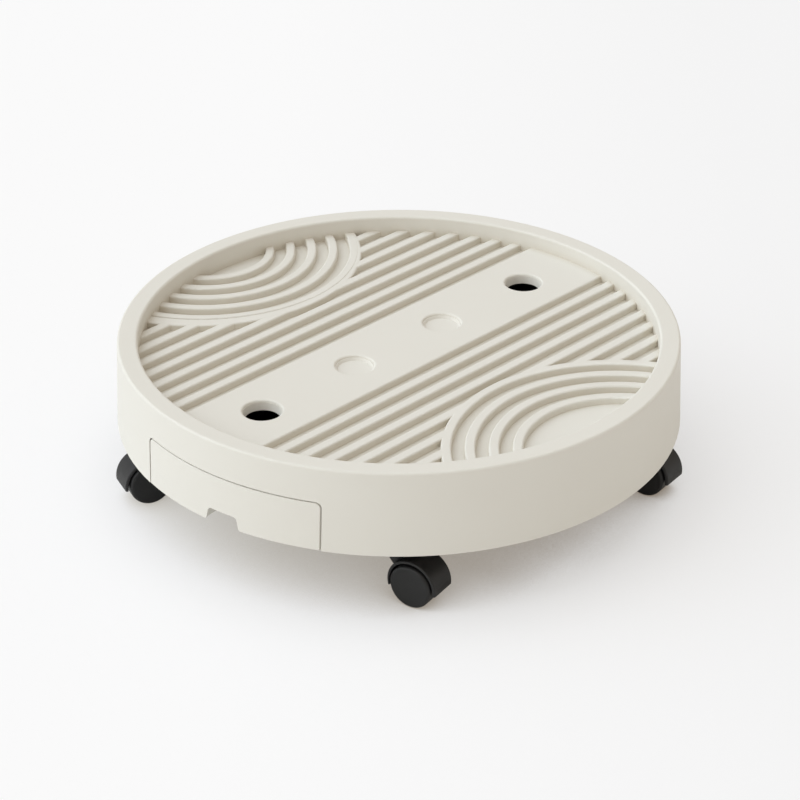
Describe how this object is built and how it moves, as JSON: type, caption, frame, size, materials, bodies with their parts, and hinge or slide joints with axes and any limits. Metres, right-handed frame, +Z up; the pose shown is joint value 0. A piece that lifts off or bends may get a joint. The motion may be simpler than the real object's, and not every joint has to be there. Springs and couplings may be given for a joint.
{
  "type": "plant caddy",
  "caption": "Round rolling plant stand with a raised rim, a ribbed deck with drain holes, a pull-out water tray and twin-wheel swivel casters",
  "frame": {"origin": "centre of the round body on the floor under the wheels", "axes": "+Z up, the drawer opens towards -Y, +X to the right of the drawer seen from behind it"},
  "size_m": [0.326, 0.3256, 0.088],
  "materials": {
    "ivory_plastic": "matte, very fine grain",
    "black_plastic": "satin",
    "wheel_plastic": "semi-gloss",
    "plated_steel": "zinc plated"
  },
  "bodies": {
    "stand": {"deck_shell": "ivory_plastic", "runner_left": "black_plastic", "runner_right": "black_plastic", "runner_screws": "plated_steel", "grip_rings": "plated_steel", "front_right_socket": "black_plastic", "right_socket": "black_plastic", "back_socket": "black_plastic", "left_socket": "black_plastic", "front_left_socket": "black_plastic", "front_right_stem": "plated_steel", "right_stem": "plated_steel", "back_stem": "plated_steel", "left_stem": "plated_steel", "front_left_stem": "plated_steel"},
    "drawer": {"drawer_front": "ivory_plastic", "water_tray": "black_plastic", "drawer_screws": "plated_steel"},
    "front_right_caster": {"front_right_hood": "black_plastic", "front_right_axle": "plated_steel"},
    "front_right_roller_a": {"front_right_wheel_a": "wheel_plastic"},
    "front_right_roller_b": {"front_right_wheel_b": "wheel_plastic"},
    "right_caster": {"right_hood": "black_plastic", "right_axle": "plated_steel"},
    "right_roller_a": {"right_wheel_a": "wheel_plastic"},
    "right_roller_b": {"right_wheel_b": "wheel_plastic"},
    "back_caster": {"back_hood": "black_plastic", "back_axle": "plated_steel"},
    "back_roller_a": {"back_wheel_a": "wheel_plastic"},
    "back_roller_b": {"back_wheel_b": "wheel_plastic"},
    "left_caster": {"left_hood": "black_plastic", "left_axle": "plated_steel"},
    "left_roller_a": {"left_wheel_a": "wheel_plastic"},
    "left_roller_b": {"left_wheel_b": "wheel_plastic"},
    "front_left_caster": {"front_left_hood": "black_plastic", "front_left_axle": "plated_steel"},
    "front_left_roller_a": {"front_left_wheel_a": "wheel_plastic"},
    "front_left_roller_b": {"front_left_wheel_b": "wheel_plastic"}
  },
  "joints": [
    {"name": "drawer_slide", "type": "slide", "parent": "stand", "child": "drawer", "axis": [0, -1, 0], "range_m": [0, 0.18]},
    {"name": "front_right_swivel", "type": "hinge", "parent": "stand", "child": "front_right_caster", "pos_m": [0.08193, -0.11154, 0.03], "axis": [0, 0, 1], "continuous": true},
    {"name": "front_right_spin_a", "type": "hinge", "parent": "front_right_caster", "child": "front_right_roller_a", "pos_m": [0.09392, -0.11091, 0.0126], "axis": [-0.0523, 0.9986, 0], "continuous": true},
    {"name": "front_right_spin_b", "type": "hinge", "parent": "front_right_caster", "child": "front_right_roller_b", "pos_m": [0.09392, -0.11091, 0.0126], "axis": [-0.0523, 0.9986, 0], "continuous": true},
    {"name": "right_swivel", "type": "hinge", "parent": "stand", "child": "right_caster", "pos_m": [0.12418, 0.0611, 0.03], "axis": [0, 0, 1], "continuous": true},
    {"name": "right_spin_a", "type": "hinge", "parent": "right_caster", "child": "right_roller_a", "pos_m": [0.13618, 0.0611, 0.0126], "axis": [0, 1, 0], "continuous": true},
    {"name": "right_spin_b", "type": "hinge", "parent": "right_caster", "child": "right_roller_b", "pos_m": [0.13618, 0.0611, 0.0126], "axis": [0, 1, 0], "continuous": true},
    {"name": "back_swivel", "type": "hinge", "parent": "stand", "child": "back_caster", "pos_m": [-0.00869, 0.13813, 0.03], "axis": [0, 0, 1], "continuous": true},
    {"name": "back_spin_a", "type": "hinge", "parent": "back_caster", "child": "back_roller_a", "pos_m": [0.00259, 0.14223, 0.0126], "axis": [-0.342, 0.9397, 0], "continuous": true},
    {"name": "back_spin_b", "type": "hinge", "parent": "back_caster", "child": "back_roller_b", "pos_m": [0.00259, 0.14223, 0.0126], "axis": [-0.342, 0.9397, 0], "continuous": true},
    {"name": "left_swivel", "type": "hinge", "parent": "stand", "child": "left_caster", "pos_m": [-0.13117, 0.04414, 0.03], "axis": [0, 0, 1], "continuous": true},
    {"name": "left_spin_a", "type": "hinge", "parent": "left_caster", "child": "left_roller_a", "pos_m": [-0.14205, 0.03907, 0.0126], "axis": [0.4226, -0.9063, 0], "continuous": true},
    {"name": "left_spin_b", "type": "hinge", "parent": "left_caster", "child": "left_roller_b", "pos_m": [-0.14205, 0.03907, 0.0126], "axis": [0.4226, -0.9063, 0], "continuous": true},
    {"name": "front_left_swivel", "type": "hinge", "parent": "stand", "child": "front_left_caster", "pos_m": [-0.08896, -0.10602, 0.03], "axis": [0, 0, 1], "continuous": true},
    {"name": "front_left_spin_a", "type": "hinge", "parent": "front_left_caster", "child": "front_left_roller_a", "pos_m": [-0.09478, -0.11652, 0.0126], "axis": [0.8746, -0.4848, 0], "continuous": true},
    {"name": "front_left_spin_b", "type": "hinge", "parent": "front_left_caster", "child": "front_left_roller_b", "pos_m": [-0.09478, -0.11652, 0.0126], "axis": [0.8746, -0.4848, 0], "continuous": true}
  ]
}
